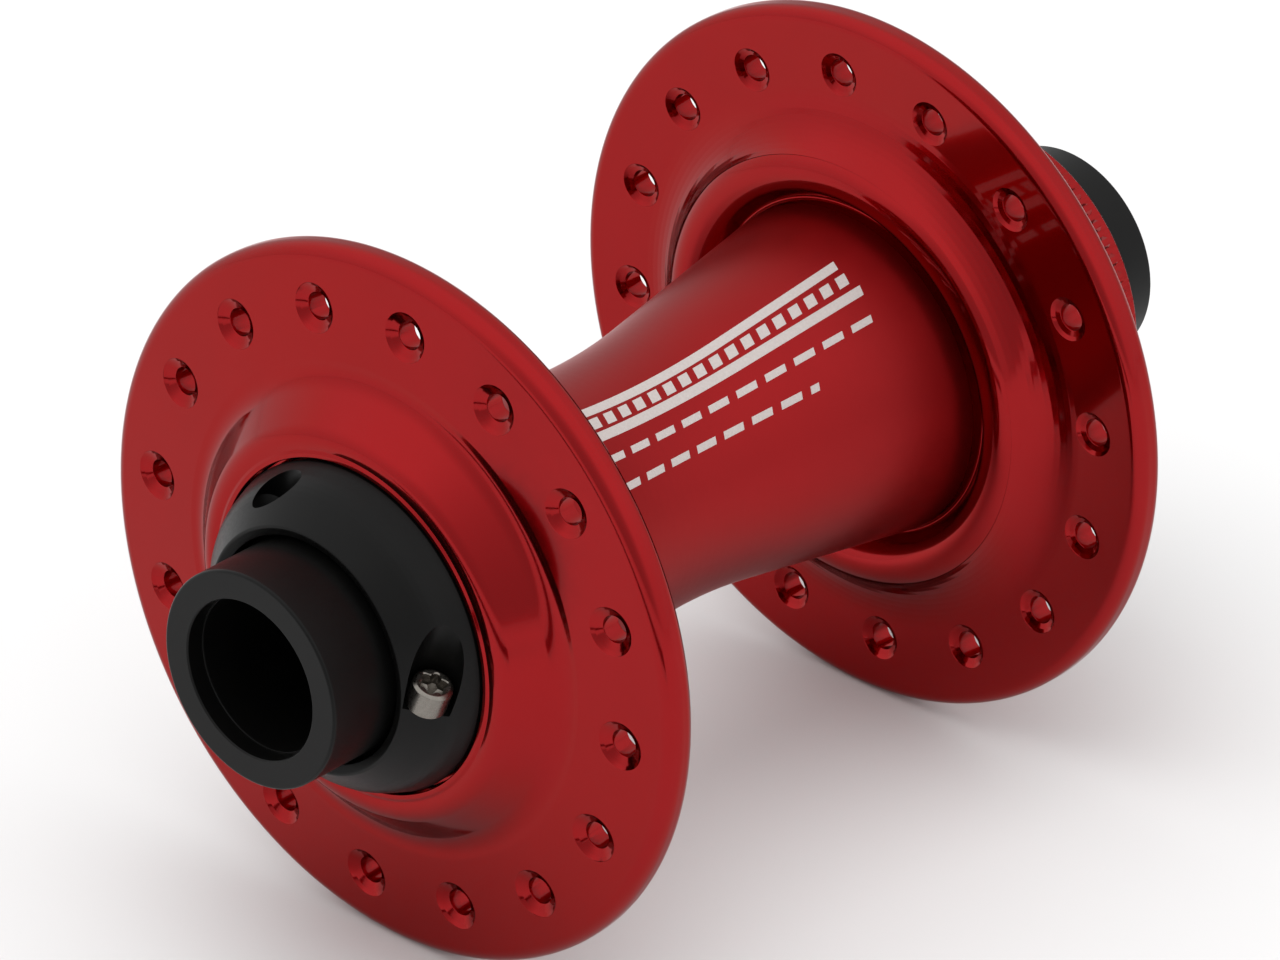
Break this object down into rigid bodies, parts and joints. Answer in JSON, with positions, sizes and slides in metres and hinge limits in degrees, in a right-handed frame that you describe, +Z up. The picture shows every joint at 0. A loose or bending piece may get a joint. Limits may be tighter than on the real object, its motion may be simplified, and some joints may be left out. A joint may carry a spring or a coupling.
{
  "type": "bicycle hub",
  "caption": "Front bicycle hub with two drilled spoke flanges, a waisted barrel, a splined disc-rotor boss, an adjusting collar and a hollow thru-axle spindle.",
  "frame": {"origin": "on the hub's axis, midway between the two axle end faces", "axes": "+Y along the axle to the rotor (left) side, +Z up, +X to the side that completes a right-handed frame"},
  "size_m": [0.0694, 0.11, 0.0694],
  "materials": {
    "red_anodised": "glossy red anodised aluminium",
    "black_anodised": "satin black anodised aluminium",
    "stainless": "bright stainless steel",
    "bearing_steel": "ground steel",
    "rubber": "matt black rubber",
    "cage_plastic": "dark moulded nylon"
  },
  "bodies": {
    "axle_set": {"axle": "black_anodised", "right_inner_race": "bearing_steel", "left_inner_race": "bearing_steel"},
    "collar": {"adjusting_collar": "black_anodised", "collar_o_ring": "rubber"},
    "screw": {"pinch_screw": "stainless"},
    "hub": {"hub_shell": "red_anodised", "right_outer_race": "bearing_steel", "right_outer_seal": "rubber", "right_snap_ring": "bearing_steel", "right_inner_shield": "bearing_steel", "left_outer_race": "bearing_steel", "left_outer_seal": "rubber", "left_snap_ring": "bearing_steel", "left_inner_shield": "bearing_steel"},
    "right_balls": {"right_ball_cage": "cage_plastic", "right_ball_1": "bearing_steel", "right_ball_2": "bearing_steel", "right_ball_3": "bearing_steel", "right_ball_4": "bearing_steel", "right_ball_5": "bearing_steel", "right_ball_6": "bearing_steel", "right_ball_7": "bearing_steel", "right_ball_8": "bearing_steel", "right_ball_9": "bearing_steel", "right_ball_10": "bearing_steel", "right_ball_11": "bearing_steel", "right_ball_12": "bearing_steel", "right_ball_13": "bearing_steel", "right_ball_14": "bearing_steel", "right_ball_15": "bearing_steel", "right_ball_16": "bearing_steel"},
    "left_balls": {"left_ball_cage": "cage_plastic", "left_ball_1": "bearing_steel", "left_ball_2": "bearing_steel", "left_ball_3": "bearing_steel", "left_ball_4": "bearing_steel", "left_ball_5": "bearing_steel", "left_ball_6": "bearing_steel", "left_ball_7": "bearing_steel", "left_ball_8": "bearing_steel", "left_ball_9": "bearing_steel", "left_ball_10": "bearing_steel", "left_ball_11": "bearing_steel", "left_ball_12": "bearing_steel", "left_ball_13": "bearing_steel", "left_ball_14": "bearing_steel", "left_ball_15": "bearing_steel", "left_ball_16": "bearing_steel"}
  },
  "joints": [
    {"name": "hub_spin", "type": "hinge", "parent": "axle_set", "child": "hub", "pos_m": [0, 0, 0], "axis": [0, 1, 0], "continuous": true},
    {"name": "right_cage_spin", "type": "hinge", "parent": "axle_set", "child": "right_balls", "pos_m": [0, -0.0367, 0], "axis": [0, 1, 0], "continuous": true},
    {"name": "left_cage_spin", "type": "hinge", "parent": "axle_set", "child": "left_balls", "pos_m": [0, 0.0381, 0], "axis": [0, 1, 0], "continuous": true},
    {"name": "collar_turn", "type": "hinge", "parent": "axle_set", "child": "collar", "pos_m": [0, -0.0445, 0], "axis": [0, 1, 0], "range_deg": [-90, 0]},
    {"name": "screw_turn", "type": "hinge", "parent": "collar", "child": "screw", "pos_m": [0.01137, -0.0456, -0.00455], "axis": [0.3714, 0, 0.9285], "range_deg": [0, 360]}
  ],
  "couplings": [
    {"joint": "right_cage_spin", "follows": "hub_spin", "ratio": 0.5449},
    {"joint": "left_cage_spin", "follows": "hub_spin", "ratio": 0.5449}
  ]
}
